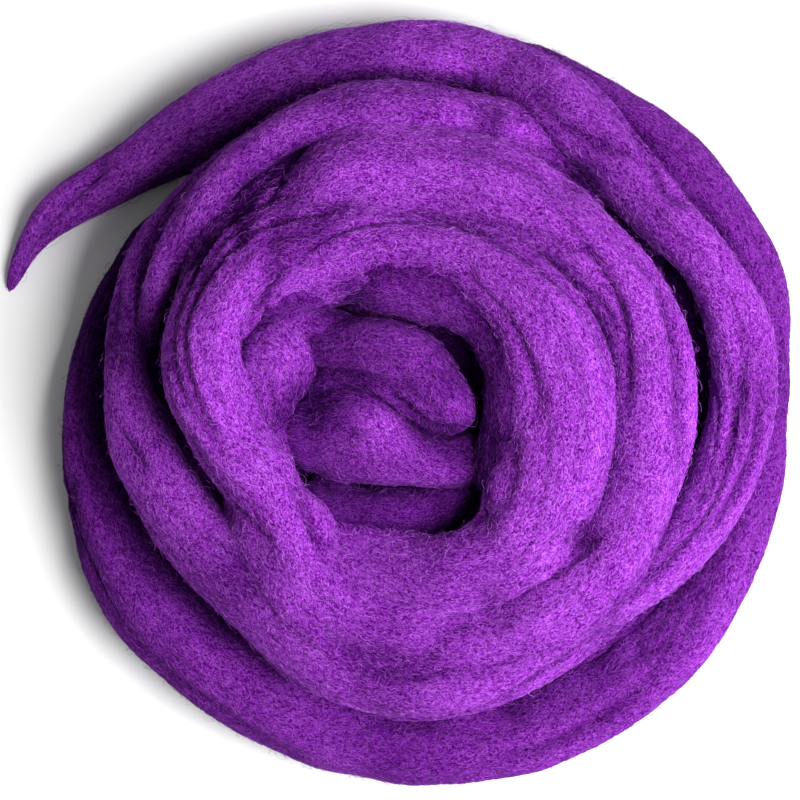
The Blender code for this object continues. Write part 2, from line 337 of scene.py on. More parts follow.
# Soft places, in plan: how far each reaches, how deep it dips, or swells where that is below zero, and
# its painted light, as how many times as bright its dye is made.
Spot = namedtuple("Spot", "x y reach depth light")
SPOTS = [
    # pits between the turns at the top and the right, with painted shade
    Spot(16, 94, 4, 1.2, 0.5),
    Spot(27, 83, 5, 1.5, 0.5),
    Spot(52, 66, 4.5, 2.0, 0.3),
    Spot(60, 75, 9, 0.8, 0.75),
    Spot(75, 60, 12, 0.5, 0.8),
    # pits between the turns at the lower right, with painted shade
    Spot(54, -41, 5, 2.0, 0.35),
    Spot(27, -59, 5, 1.0, 0.6),
    Spot(60, -76, 6, 1.5, 0.5),
    Spot(33, -93, 5, 1.2, 0.5),
    # painted shade: the near side of the ring and below it, one place at the top, and the folds' hollows
    Spot(9, -47, 13, 0.4, 0.68),
    Spot(-12, -51, 9, 0.4, 0.75),
    Spot(24, -55, 13, 0.3, 0.75),
    Spot(-6, -63, 14, 0.3, 0.8),
    Spot(-8, -78, 15, 0.3, 0.55),
    Spot(4, 92, 8, 0.5, 0.75),
    Spot(-26, -3, 10, 1.0, 0.18),
    Spot(-15, 31, 6, 1.2, 0.2),
    Spot(24, -34, 6, 1.5, 0.4),
    Spot(-12, -35, 12, 0.3, 0.7),
    # painted shade at the far right and the far left
    Spot(113, 3, 13, 0, 0.6),
    Spot(-84, 17, 14, 0, 0.35),
    # painted light on a length of the loose end, and painted shade on lengths of the turns
    Spot(-77, 70, 10, 0, 1.4),
    Spot(-18, 100, 14, 0, 0.55),
    Spot(0, -103, 17, 0, 0.65),
    Spot(-51, -54, 13, 0, 0.38),
    # swellings and other places with painted light, and painted shade beside the upper fold
    Spot(60, 37, 12, -1.0, 1.25),
    Spot(36, 70, 12, -0.8, 1.15),
    Spot(92, -80, 20, -0.5, 1.3),
    Spot(102, -58, 15, -0.3, 1.2),
    Spot(96, 12, 8, 0, 1.7),
    Spot(95, -8, 8, 0, 1.8),
    Spot(87, -28, 8, 0, 1.35),
    Spot(45, -105, 18, -0.3, 1.25),
    Spot(-3, -5, 9, -0.8, 2.3),
    Spot(31, 1, 9, 0, 1.8),
    Spot(16, 6, 7, 0, 0.45),
]

# A crease is a narrow groove in a wider one, and fades towards its ends.
CREASE_STEP = 1.0
CREASE_DEPTH = 1.5
CREASE_MARGIN = 4  # how many of its widths from its line a crease is worked out
WIDER_BY = 2.6
NARROW_SHARE = 0.7
WIDE_SHARE = 0.3
FADE_SPAN = (0.02, 0.98)
FADE_POWER = 0.6
# Creases and spots are pressed in full where the skin's normal rises by a third or more.
FACING_GAIN = 3

# A strand's grid: its step along it, its points over the upper and under the lower side, and the angles
# at which the upper side begins and ends.
FINE = 1.2
COARSE = 4.0
Sides = namedtuple("Sides", "over under")
FINE_SIDES = Sides(56, 14)
COARSE_SIDES = Sides(18, 6)
OVER_FROM = math.radians(-28)
UNDER_FROM = math.radians(208)
# An end is rounded over 0.9 of its half width, and over 3 mm at most.
END_LENGTH = 0.9
END_START = 1.5
END_SLOPE = 0.5
END_MOST = 0.995

# Noise gives the wool its relief: its height, the length and width of its features, and a number for its
# seed, to which a strand adds ten times its own.
Relief = namedtuple("Relief", "height along around number")
SEEDS_EACH = 10
NOISE_SIDE = 256
WANDER = Relief(4.0, 45, 30, 0)
LUMPS = [Relief(1.9, 34, 16, 1), Relief(0.6, 12, 8, 6)]
RIDGES = [Relief(0.6, 60, 5.5, 2), Relief(0.16, 30, 2.4, 3)]
GRAIN = Relief(0.10, 2.6, 2.2, 7)
WIDTH_SWELL = Relief(0.08, 26, 26, 8)
DRIFT = 0.10  # how far the combing turns round a strand for each millimetre along it
SIDE_RIDGES = 0.25  # the share of the combed ridges that is left on the steep sides
CALM_UNDER = 9.0  # strands with a half width under this are combed less deeply
CALMEST = 0.15
# Furrows are soft folds along a strand: how deep, how dark their painted shade is, how long and how
# wide. They lie where noise is near zero, and noise with multiples of their length and width fades them
# in and out.
Furrow = namedtuple("Furrow", "depth shade along around number")
FURROWS = [Furrow(1.8, 1.1, 100, 13, 4), Furrow(0.8, 0.7, 50, 6, 5)]
FURROW_EDGE = 0.09
FURROW_FADES = Relief(2.2, 0.6, 1.8, 500)
FURROW_SHOWN = 0.3
# painted shade in the troughs between the combed ridges
TROUGH_SHADE = 0.9

# How far a point is from a strand is measured from every fourth row of its grid. A turn that passes over
# itself isn't measured from the 70 mm of itself to either side.
SEEN_ROWS = 4
SAME_PLACE = 70.0
# Skin is open where it is no deeper than this in another strand, and higher than this over the table.
EXPOSED = -0.4
OFF_TABLE = 0.6
# Where strands meet, their skins are raised to run together: by what share of the fillet, shared how
# many times with the neighbouring points, and how much more where the turns don't part.
FILL_SHARE = 0.25
FILL_SPREAD = 5
MELTED = 1.5
# How clearly the turns part from each other, which noise varies.
PARTING_REACH = 30.0
PARTING_SEED = 77
PARTS_MOSTLY = 0.8
PARTING_VARIES = 0.6
LEAST_PARTING = 0.3
# Places, in plan, where neighbouring turns run into each other: how far each reaches.
Merge = namedtuple("Merge", "x y reach")
MERGES = [
    Merge(-48, -42, 12),
    Merge(-30, -59, 17),
    Merge(-12, -68, 17),
    Merge(9, -73, 20),
    Merge(-8, 82, 13),
    Merge(12, 82, 13),
    Merge(30, 77, 8),
]
MERGED = 0.9

# The least painted light that is left, spots aside, and the painted shade that grooves, creases and
# sunken places take away.
LEAST_LIGHT = 0.09
GROOVE_REACH = 3.2
GROOVE_SHADE = 0.75
CREASE_SHADE = 0.4
MOST_CREASE = 2
# A place is sunk as far as it lies below the wool round it, on maps that are blurred over these reaches
# and read a little towards the light.
MAP_SIDE = 300
MAP_REACHES = (3.5, 8.0, 18.0)
SUNK_SHADE = (0.09, 0.07, 0.05)
TOWARDS_LIGHT = 0.8
BLUR_CUT = 3  # a blur is cut off at about this many of its reaches

# Fibres lie on the wool's skin. Lengths, widths and lifts are in millimetres, and turns in radians. Tone
# is their mean place between the darkest and the palest dye, edges says how many more of them grow on
# steep sides, and shaded how far they take on the painted shade of their place.
Coat = namedtuple("Coat", "count stations length width lift turn bend crimp tone edges shaded")
SHORT_COAT = Coat(200000, 3, (1.0, 3.2), 0.13, (0.02, 0.28), 0.45, 1.1, 0.14, 0.74, 0, 0.45)
CURLS = Coat(13000, 7, (2.2, 5.0), 0.11, (0.05, 0.5), 0.8, 1.6, 0.26, 0.95, 0, 0.35)
FRIZZ = Coat(9000, 8, (2.5, 6.5), 0.07, (0.2, 2.0), 1.4, 2.0, 0.32, 0.95, 6, 0.2)
WISPS = Coat(700, 9, (5.0, 13.0), 0.07, (0.2, 2.2), 0.3, 0.9, 0.30, 0.85, 3, 0.3)
WAVE = (1.6, 3.4)
SWAYS = (0.3, 1)
TONE_VARIES = 0.30
COATED_ALONE = 4  # strands, from the outside in, whose coats are meshes of their own
BARE_ROWS = 2  # rows at each end of a strand where no fibre grows
LEAST_LIFT = 0.04
LEAST_HEIGHT = 0.1
ARCH_SPAN = (0.12, 1.0)
LOW_LIFTS = 2.2  # the higher this is, the more fibres lie low
MOST_TILT = 1.1
# Long stray fibres, in plan, and how high each floats over the wool.
Stray = namedtuple("Stray", "over line")
STRAYS = [
    Stray(1.5, [(-66.8, 75.8), (-65.6, 69.8), (-67.2, 66), (-66.4, 61)]),
    Stray(1.2, [(-18.2, 87.8), (-13.7, 92), (-9.2, 94.4)]),
    Stray(1.0, [(0, 43.7), (5.9, 45.5), (11.9, 46.4)]),
    Stray(2.0, [(13, 17.5), (16.4, 16.6), (20.3, 15), (25.5, 14.2)]),
    Stray(1.0, [(-3.6, -26.2), (-2.4, -28.6), (0.3, -29.5), (2.4, -28.2)]),
    Stray(1.2, [(-84.7, 23.3), (-86.7, 15.8), (-82.8, 8.3), (-85.2, 0.8)]),
    Stray(1.5, [(-81.6, 21.8), (-84, 17.3), (-81.6, 11.3), (-85.8, 5.3), (-84, -2.3)]),
    Stray(1.2, [(-84, -6), (-81, -11), (-83, -17), (-80, -23)]),
    Stray(1.5, [(88.5, 22), (91, 15), (89.5, 9), (92, 2)]),
    Stray(1.0, [(30, 88), (36, 85), (41, 86.5)]),
    Stray(1.2, [(50, -33), (55, -37), (53, -43), (58, -47)]),
    Stray(1.0, [(-40, -66), (-33, -68), (-27, -66)]),
]
STRAY_STATIONS = 24
STRAY_WIDTH = 0.14
STRAY_CRIMP = 0.35
STRAY_WAVE = 2.6
STRAY_BLUR = 1.5

DEEP = (0.040, 0.001, 0.090)
MIDDLE = (0.150, 0.007, 0.260)
BRIGHT = (0.350, 0.042, 0.575)
PALE = (0.600, 0.165, 0.860)
WOOL_DYE = [(0.17, DEEP), (0.44, MIDDLE), (0.66, BRIGHT), (0.88, PALE)]
FIBRE_DYE = [(0.0, DEEP), (0.25, MIDDLE), (0.60, BRIGHT), (0.95, PALE)]
# Painted shade: the dye in the shade, as a share of its colour in full light.
SHADES = [
    (0.0, (0.04, 0.005, 0.07)),
    (0.35, (0.34, 0.20, 0.38)),
    (0.7, (0.70, 0.62, 0.72)),
    (1.0, (1, 1, 1)),
]
# What mottles the dye of the strands: curly and smaller bright lines and wide patches, with scales per
# metre, and streaks along the strand, with a scale per millimetre.
Pattern = namedtuple("Pattern", "scale weight")
CURLY_LINES = Pattern(900.0, 0.25)
SMALL_LINES = Pattern(1900.0, 0.32)
STREAKS = Pattern(1.1, 0.28)
PATCHES = Pattern(75.0, 0.20)
STREAK_STRETCH = 0.45
LINE_THINNESS = 6.0
LINE_NOISE = {"Detail": 1.0, "Distortion": 0.8}
PATCH_DETAIL = 2.0
BUMP_STRENGTH = 0.6
BUMP_DEPTH = 0.0005

# The camera's lens and sensor are in millimetres, and the rest of the stage is in metres and watts.
CAMERA_LENS = 300
CAMERA_SENSOR = 36
FRAME_WIDTH = 0.240
FRAME_PLANE = 0.022
FLOOR_SIDE = 6
KEY_PLACE = (1.15, -0.40, 1.20)
KEY_SIZE = 1.6
KEY_POWER = 78
SKY_STRENGTH = 0.23


def smooth_through(at, values, where):
    """A smooth curve through rows of values, read at the places where."""
    slopes = np.gradient(values, at, axis=0)
    index = np.clip(np.searchsorted(at, where) - 1, 0, len(at) - 2)
    span = (at[index + 1] - at[index])[:, None]
    t = (where - at[index])[:, None] / span
    start, end = values[index], values[index + 1]
    leave, arrive = slopes[index] * span, slopes[index + 1] * span
    bend = (2 * t**3 - 3 * t**2 + 1) * start + (t**3 - 2 * t**2 + t) * leave
    return bend + (-2 * t**3 + 3 * t**2) * end + (t**3 - t**2) * arrive


def noise(x, y, seed):
    """Smooth noise from -1 to 1 with features about one unit across."""
    table = np.random.default_rng(seed).uniform(-1, 1, (NOISE_SIDE, NOISE_SIDE))
    left, low = np.floor(x).astype(int), np.floor(y).astype(int)
    fx, fy = x - left, y - low
    fx = fx * fx * (3 - 2 * fx)
    fy = fy * fy * (3 - 2 * fy)

    def corner(i, j):
        return table[(left + i) % NOISE_SIDE, (low + j) % NOISE_SIDE]

    near = corner(0, 0) * (1 - fx) + corner(1, 0) * fx
    far = corner(0, 1) * (1 - fx) + corner(1, 1) * fx
    return near * (1 - fy) + far * fy


def unit(vectors):
    return vectors / np.maximum(np.linalg.norm(vectors, axis=-1, keepdims=True), 1e-9)


def distances(points):
    """How far along a line of points each of them lies."""
    gaps = np.linalg.norm(np.diff(points, axis=0), axis=1)
    return np.concatenate([[0], np.cumsum(gaps)])


def around_eye(bearing, reach):
    angle = math.radians(bearing)
    return EYE_X + reach * math.sin(angle), EYE_Y + reach * math.cos(angle)


def placed_turn(sections, thickness):
    """Rows of x, y, height of the middle and half width."""
    rows = []
    for section in sections:
        x, y = around_eye(section.bearing, section.reach)
        half_height = thickness * section.half_width
        top = 2 * half_height - RESTS_INTO_TABLE if section.top is None else section.top
        rows.append((x, y, top - half_height, section.half_width))
    return np.array(rows)


def placed_fold(folds, thickness):
    rows = [(f.x, f.y, f.top - thickness * f.half_width, f.half_width) for f in folds]
    return np.array(rows)


def placed(form):
    place = placed_turn if isinstance(form.rows[0], Section) else placed_fold
    return place(form.rows, form.thickness)


class Strand:
    """A strand's centreline with its frame, and the grid of points that is its skin, in millimetres."""

    def __init__(self, form, step=FINE, sides=FINE_SIDES):
        self.name = form.name
        self.seed = form.seed * SEEDS_EACH
        self.fillet = form.fillet
        self.shade = form.shade
        rows = placed(form)
        at = distances(rows[:, :3])
        self.distance = np.linspace(0, at[-1], int(at[-1] / step) + 2)
        line = smooth_through(at, rows, self.distance)
        self.middle = line[:, :3]
        swell = 1 + relief(WIDTH_SWELL, self.distance, 0 * self.distance, self.seed)
        self.half_width = line[:, 3] * swell * self.rounded_ends(line[:, 3])
        self.half_height = self.half_width * form.thickness
        self.along = unit(np.gradient(self.middle, axis=0))
        self.out = unit(np.cross([0.0, 0.0, 1.0], self.along))
        self.up = np.cross(self.along, self.out)
        over = np.linspace(OVER_FROM, UNDER_FROM, sides.over, endpoint=False)
        under = np.linspace(UNDER_FROM, OVER_FROM + 2 * math.pi, sides.under, endpoint=False)
        self.angle = np.concatenate([over, under])
        self.crease = np.zeros((len(self.distance), len(self.angle)))
        self.spot_light = np.ones(self.crease.shape)
        self.skin()
        self.bare_normal = self.normal

    def rounded_ends(self, half_width):
        from_end = np.minimum(self.distance, self.distance[-1] - self.distance)
        length = np.minimum(END_LENGTH * half_width, END_START + END_SLOPE * from_end)
        near = np.clip(1 - from_end / length, 0, END_MOST)
        return np.sqrt(1 - near**2)

    def skin(self):
        cos, sin = np.cos(self.angle)[None, :, None], np.sin(self.angle)[None, :, None]
        wide = self.half_width[:, None, None] * self.out[:, None, :]
        high = self.half_height[:, None, None] * self.up[:, None, :]
        self.points = self.middle[:, None, :] + wide * cos + high * sin
        self.refresh_normals()

    def settle_on_table(self):
        self.points[..., 2] = np.maximum(self.points[..., 2], 0)

    def refresh_normals(self):
        along = np.gradient(self.points, axis=0)
        around = np.roll(self.points, -1, axis=1) - np.roll(self.points, 1, axis=1)
        self.normal = unit(np.cross(around, along))

    def facing_up(self):
        """1 where the skin faces up, and less down its steep sides."""
        return np.clip(self.normal[..., 2] * FACING_GAIN, 0, 1)

    def push(self, depth, normal=None):
        self.points += (self.normal if normal is None else normal) * depth[..., None]
        self.refresh_normals()

    def outside(self, points, places=None):
        """How far points are outside this strand, in millimetres, and below zero inside it.

        Places are the points' own distances along this strand, where they are its skin, so that a turn
        that passes over itself sees only its other stretch.
        """
        rows = slice(None, None, SEEN_ROWS)
        middle = self.middle[rows]
        gaps = (middle**2).sum(axis=1)[None] - 2 * points @ middle.T
        if places is not None:
            gaps[np.abs(places[:, None] - self.distance[rows][None]) < SAME_PLACE] = np.inf
        nearest = gaps.argmin(axis=1)
        along, out, up = (axis[rows][nearest] for axis in (self.along, self.out, self.up))
        half_width, half_height = self.half_width[rows][nearest], self.half_height[rows][nearest]
        offset = points - middle[nearest]
        slip = np.clip((offset * along).sum(axis=1), -0.5 * SEEN_ROWS, 0.5 * SEEN_ROWS)
        offset -= slip[:, None] * along
        wide = (offset * out).sum(axis=1) / half_width
        high = (offset * up).sum(axis=1) / half_height
        ahead = (offset * along).sum(axis=1) / half_width
        size = np.sqrt(wide**2 + high**2 + ahead**2)
        far = np.linalg.norm(offset, axis=1) * (1 - 1 / np.maximum(size, 1e-3))
        return np.where(np.isinf(gaps.min(axis=1)), np.inf, far)


def clearances(strand, strands):
    """How far each point of a strand's skin is outside all of the others."""
    flat = strand.points.reshape(-1, 3)
    places = np.repeat(strand.distance, len(strand.angle))
    least = np.full(len(flat), np.inf)
    for other in strands:
        if other is strand:
            least = np.minimum(least, strand.outside(flat, places))
        else:
            least = np.minimum(least, other.outside(flat))
    return least.reshape(strand.points.shape[:2])


def spread(grid, rounds):
    """A strand's grid of values, each shared with its neighbours a number of times."""
    for _ in range(rounds):
        beside = (np.roll(grid, 1, axis=1) + np.roll(grid, -1, axis=1)) / 2
        padded = np.pad(grid, ((1, 1), (0, 0)), mode="edge")
        ahead = (padded[:-2] + padded[2:]) / 2
        grid = grid / 2 + (beside + ahead) / 4
    return grid


def relief(kind, along, around, seed):
    return kind.height * noise(along / kind.along, around / kind.around, seed + kind.number)


def furrows(kind, along, around, seed):
    """Narrow creases where noise is near zero, from 0 beside them to 1 in their middle."""
    seed += kind.number
    line = noise(along / kind.along, around / kind.around, seed)
    length, width = FURROW_FADES.along * kind.along, FURROW_FADES.around * kind.around
    fades = FURROW_FADES._replace(along=length, around=width)
    shown = np.clip(relief(fades, along, around, seed) + FURROW_SHOWN, 0, 1)
    return shown * np.exp(-((line / FURROW_EDGE) ** 2))


def comb(strand):
    """Lumps, combed ridges and soft folds that run along the strand, and the painted shade of the folds
    and of the troughs between the ridges.
    """
    along = strand.distance[:, None] * np.ones_like(strand.angle)[None, :]
    around = strand.angle[None, :] * strand.half_width.mean() * np.ones_like(along)
    around = around + relief(WANDER, along, around, strand.seed) + DRIFT * along
    place = (along, around, strand.seed)
    lumps = sum(relief(kind, *place) for kind in LUMPS)
    ridges = sum(relief(kind, *place) for kind in RIDGES)
    ridges *= SIDE_RIDGES + (1 - SIDE_RIDGES) * np.clip(strand.normal[..., 2], 0, 1) ** 2
    height, dark = lumps + ridges, 0
    for kind in FURROWS:
        furrow = furrows(kind, *place)
        height = height - kind.depth * furrow
        dark = dark + kind.shade * furrow
    calm = np.clip(strand.half_width / CALM_UNDER, CALMEST, 1)[:, None]
    strand.push((height + relief(GRAIN, *place)) * calm)
    strand.crease = (dark + TROUGH_SHADE * np.clip(-ridges, 0, None)) * calm


def crease_depth(crease, flat):
    """How deep one crease is pressed at each of these places in plan."""
    depth = np.zeros(len(flat))
    corners = np.array(crease.line, float)
    at = distances(corners)
    where = np.arange(0, at[-1], CREASE_STEP)
    line = smooth_through(at, corners, where)
    margin = CREASE_MARGIN * crease.width
    low, high = line.min(axis=0) - margin, line.max(axis=0) + margin
    near = np.flatnonzero(((flat > low) & (flat < high)).all(axis=1))
    if not len(near):
        return depth
    gaps = np.linalg.norm(flat[near, None, :] - line[None], axis=2)
    gap = gaps.min(axis=1)
    share = where[gaps.argmin(axis=1)] / at[-1]
    fade = np.sin(math.pi * np.clip(share, *FADE_SPAN)) ** FADE_POWER
    narrow = np.exp(-((gap / crease.width) ** 2))
    wide = np.exp(-((gap / (WIDER_BY * crease.width)) ** 2))
    depth[near] = crease.depth * fade * (NARROW_SHARE * narrow + WIDE_SHARE * wide)
    return depth


def press_creases(strand):
    flat = strand.points[..., :2].reshape(-1, 2)
    depth = sum(crease_depth(crease, flat) for crease in CREASES)
    depth = depth.reshape(strand.crease.shape) * strand.facing_up()
    strand.push(-CREASE_DEPTH * depth)
    # the creases are painted darker too, through openness
    strand.crease = strand.crease + depth


def closeness(points, place):
    """1 at a place in plan, falling softly to 0 round it."""
    away = np.hypot(points[..., 0] - place.x, points[..., 1] - place.y)
    return np.exp(-((away / place.reach) ** 2))


def press_spots(strand):
    facing_up = strand.facing_up()
    depth = np.zeros(facing_up.shape)
    for spot in SPOTS:
        share = closeness(strand.points, spot) * facing_up
        depth += spot.depth * share
        # the spot's painted light and shade
        strand.spot_light *= 1 + (spot.light - 1) * share
    strand.push(-depth)


def blurred(grid, reach):
    """A square map with each value spread over its neighbours, reach being the spread in map steps."""
    last = BLUR_CUT * int(reach + 1)
    steps = np.arange(-last, last + 1)
    weights = np.exp(-0.5 * (steps / reach) ** 2)
    weights /= weights.sum()
    for axis in (0, 1):
        grid = np.apply_along_axis(np.convolve, axis, grid, weights, mode="same")
    return grid


def map_cells(points):
    """The column and row of the height map, which has millimetre steps, over which each point lies."""
    return np.clip((points[..., :2] + MAP_SIDE / 2).astype(int), 0, MAP_SIDE - 1)


def wool_heights(strands):
    """How high the wool reaches over each square millimetre."""
    heights = np.zeros((MAP_SIDE, MAP_SIDE))
    for strand in strands:
        flat = strand.points.reshape(-1, 3)
        x, y = map_cells(flat).T
        np.maximum.at(heights, (x, y), flat[:, 2])
    return heights


def parting(points):
    """How clearly turns part from their neighbours, which comes and goes over the nest."""
    x, y = points[..., 0] / PARTING_REACH, points[..., 1] / PARTING_REACH
    clear = np.clip(PARTS_MOSTLY + PARTING_VARIES * noise(x, y, PARTING_SEED), LEAST_PARTING, 1)
    for merge in MERGES:
        clear = clear * (1 - MERGED * closeness(points, merge))
    return clear


def openness(strand, maps):
    """How much light each point is painted with: less in the grooves and creases, and in the sunken
    places.
    """
    light = np.ones(strand.clear.shape)
    for heights, shade, reach in zip(maps, SUNK_SHADE, MAP_REACHES):
        towards = np.array([TOWARDS_LIGHT * reach, 0, 0])
        x, y = np.moveaxis(map_cells(strand.points + towards), -1, 0)
        sunk = np.clip(heights[x, y] - strand.points[..., 2], 0, None)
        light *= np.exp(-shade * sunk)
    groove = np.exp(-np.clip(strand.clear, 0, None) / GROOVE_REACH) * parting(strand.points)
    light *= (1 - GROOVE_SHADE * groove) * (1 - CREASE_SHADE * np.clip(strand.crease, 0, MOST_CREASE))
    return np.clip(light, LEAST_LIGHT, 1) * strand.spot_light


def fill_grooves(strand, strands):
    """Raises the skin softly where it meets other strands, and notes where it is buried in them."""
    clear = clearances(strand, strands)
    melted = 1 - parting(strand.points)
    reach = strand.fillet * (1 + melted)
    near = np.clip(1 - np.abs(clear) / reach, 0, 1)
    fill = FILL_SHARE * reach * (1 + MELTED * melted) * near**2
    strand.push(spread(fill, FILL_SPREAD), strand.bare_normal)
    strand.clear = clear


def hidden_spiral(level):
    rows = []
    degrees = 360 * level.outer_reach / HIDDEN_PITCH
    for step in range(int(degrees // HIDDEN_STEP)):
        turned = step * HIDDEN_STEP
        reach = level.outer_reach - HIDDEN_PITCH * turned / 360
        rows.append(Section(HIDDEN_FROM + turned, reach, level.top, HIDDEN_HALF_WIDTH))
    return rows


def make_mesh(name, points, faces, material):
    """An object from arrays of points in millimetres and of faces with the same number of corners."""
    mesh = bpy.data.meshes.new(name)
    count, corners = faces.shape
    mesh.vertices.add(len(points))
    mesh.vertices.foreach_set("co", (points * MM).astype(np.float32).ravel())
    mesh.loops.add(count * corners)
    mesh.loops.foreach_set("vertex_index", faces.astype(np.int32).ravel())
    mesh.polygons.add(count)
    mesh.polygons.foreach_set("loop_start", np.arange(0, count * corners, corners, dtype=np.int32))
    mesh.update(calc_edges=True)
    mesh.shade_smooth()
    mesh.materials.append(material)
    obj = bpy.data.objects.new(name, mesh)
    bpy.context.scene.collection.objects.link(obj)
    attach(obj, BODY)
    return obj


def add_value(obj, name, values):
    layer = obj.data.attributes.new(name, "FLOAT", "POINT")
    layer.data.foreach_set("value", values.astype(np.float32).ravel())


def strand_object(strand, material):
    rows, sides = strand.points.shape[:2]
    row, side = np.meshgrid(np.arange(rows - 1), np.arange(sides), indexing="ij")
    nearer = row * sides + side
    beside = row * sides + (side + 1) % sides
    faces = np.stack([nearer, nearer + sides, beside + sides, beside], axis=-1).reshape(-1, 4)
    obj = make_mesh(strand.name, strand.points.reshape(-1, 3), faces, material)
    add_value(obj, "along", np.repeat(strand.distance, sides))
    add_value(obj, "around", strand.angle[None, :] * strand.half_width[:, None])
    # painted light and shade: the share of full light that the dye is painted with
    add_value(obj, "light", np.clip(strand.shade * strand.open, 0, 1))
    return obj


def on_grid(grid, row, side):
    """Values of a strand's grid read between its points, up to just short of its last row."""
    rows, sides = grid.shape[:2]
    row = np.clip(row, 0, rows - 1.001)
    low, left = np.floor(row).astype(int), np.floor(side).astype(int)
    up, over = (row - low)[..., None], (side - left)[..., None]
    left, right = left % sides, (left + 1) % sides
    near = grid[low, left] * (1 - over) + grid[low, right] * over
    far = grid[low + 1, left] * (1 - over) + grid[low + 1, right] * over
    return near * (1 - up) + far * up


def ribbon_faces(stations):
    """The triangles of one ribbon, whose corners are a tip, its left side, its right side and a tip."""
    pairs = stations - 2
    left, right, end = 1, 1 + pairs, 1 + 2 * pairs
    faces = [(0, left, right)]
    for step in range(pairs - 1):
        faces.append((left + step, left + step + 1, right + step))
        faces.append((right + step, left + step + 1, right + step + 1))
    faces.append((left + pairs - 1, end, right + pairs - 1))
    return np.array(faces)


def fibre_mesh(name, line, across, outward, width, tone, light, material):
    """A joined mesh of ribbons that taper to a point at both ends."""
    count, stations = line.shape[:2]
    side = 0.5 * width * across[:, 1:-1]
    left, right = line[:, 1:-1] - side, line[:, 1:-1] + side
    points = np.concatenate([line[:, :1], left, right, line[:, -1:]], axis=1)
    beside = outward[:, 1:-1]
    facing = np.concatenate([outward[:, :1], beside, beside, outward[:, -1:]], axis=1)
    corners = points.shape[1]
    faces = (np.arange(count)[:, None, None] * corners + ribbon_faces(stations)[None]).reshape(-1, 3)
    obj = make_mesh(name, points.reshape(-1, 3), faces, material)
    obj.data.normals_split_custom_set_from_vertices(facing.reshape(-1, 3))
    add_value(obj, "tone", np.repeat(tone, corners))
    add_value(obj, "light", np.repeat(light, corners))
    return obj


def cell_sizes(strand):
    """The length and the width of each cell of a strand's grid."""
    along = np.linalg.norm(np.gradient(strand.points, axis=0), axis=2)
    around = np.linalg.norm(np.roll(strand.points, -1, axis=1) - strand.points, axis=2)
    return along, around


def open_cells(strand):
    """The area of each cell, or 0 where it is buried in another strand or lies on the table."""
    along, around = cell_sizes(strand)
    return along * around * (strand.clear > EXPOSED) * (strand.points[..., 2] > OFF_TABLE)


def open_area(strand):
    return open_cells(strand).sum()


def crimped(coat, count, rng):
    """How far ahead of its place on the skin, and how far beside it, each station of a fibre lies."""
    stations = np.linspace(-0.5, 0.5, coat.stations)[None]
    length = rng.uniform(*coat.length, count)[:, None]
    turn = rng.normal(0, coat.turn, count)[:, None] + rng.normal(0, coat.bend, (count, 1)) * stations
    step = stations * length
    wave = 2 * math.pi * (step / rng.uniform(*WAVE, (count, 1)) + rng.uniform(0, 1, (count, 1)))
    sway = rng.uniform(*SWAYS, (count, 1)) * coat.crimp * np.sin(wave)
    ahead = step * np.cos(turn) - sway * np.sin(turn)
    beside = step * np.sin(turn) + sway * np.cos(turn)
    return ahead, beside


def lifts(coat, count, rng):
    """How high each station of a fibre stands off the skin, in an arch."""
    low, high = coat.lift
    peak = low + (high - low) * rng.uniform(0, 1, (count, 1)) ** LOW_LIFTS
    arch = np.sin(math.pi * np.linspace(*ARCH_SPAN, coat.stations)[None]) * peak
    return LEAST_LIFT + np.maximum(arch, 0)


def tilted(line, outward, rng):
    """The directions across and out of each ribbon, which is tilted about its line by chance."""
    forward = unit(np.gradient(line, axis=1))
    flat = unit(np.cross(outward, forward))
    tilt = rng.uniform(-MOST_TILT, MOST_TILT, (len(line), 1, 1))
    across = flat * np.cos(tilt) + outward * np.sin(tilt)
    return across, unit(outward * np.cos(tilt) - flat * np.sin(tilt))


def spread_fibres(strand, coat, count, rng):
    """Lines, directions across and out, tones and lights of fibres strewn over a strand's open skin."""
    along, around = cell_sizes(strand)
    chance = open_cells(strand) * (1 + coat.edges * (1 - np.abs(strand.normal[..., 2])) ** 2)
    chance[:BARE_ROWS] = 0
    chance[-BARE_ROWS:] = 0
    cells = rng.choice(chance.size, count, p=chance.ravel() / chance.sum())
    row, side = np.divmod(cells, len(strand.angle))
    ahead, beside = crimped(coat, count, rng)
    row = (row + rng.uniform(0, 1, count))[:, None] + ahead / along.ravel()[cells][:, None]
    side = (side + rng.uniform(0, 1, count))[:, None] + beside / around.ravel()[cells][:, None]
    outward = unit(on_grid(strand.normal, row, side))
    line = on_grid(strand.points, row, side) + outward * lifts(coat, count, rng)[..., None]
    line[..., 2] = np.maximum(line[..., 2], LEAST_HEIGHT)
    across, faced = tilted(line, outward, rng)
    tone = np.clip(rng.normal(coat.tone, TONE_VARIES, count), 0, 1)
    # the fibres take on the painted shade of their place on the skin
    light = strand.shade * strand.open.ravel()[cells] ** coat.shaded
    return line, across, faced, tone, np.clip(light, 0, 1)


def coat_object(name, strands, coat, total_area, material, seed):
    """One mesh of the fibres of one kind on these strands, in proportion to their open area."""
    rng = np.random.default_rng(seed)
    parts = []
    for strand in strands:
        count = int(coat.count * open_area(strand) / total_area)
        if count:
            parts.append(spread_fibres(strand, coat, count, rng))
    line, across, faced, tone, light = (np.concatenate(arrays) for arrays in zip(*parts))
    return fibre_mesh(name, line, across, faced, coat.width, tone, light, material)


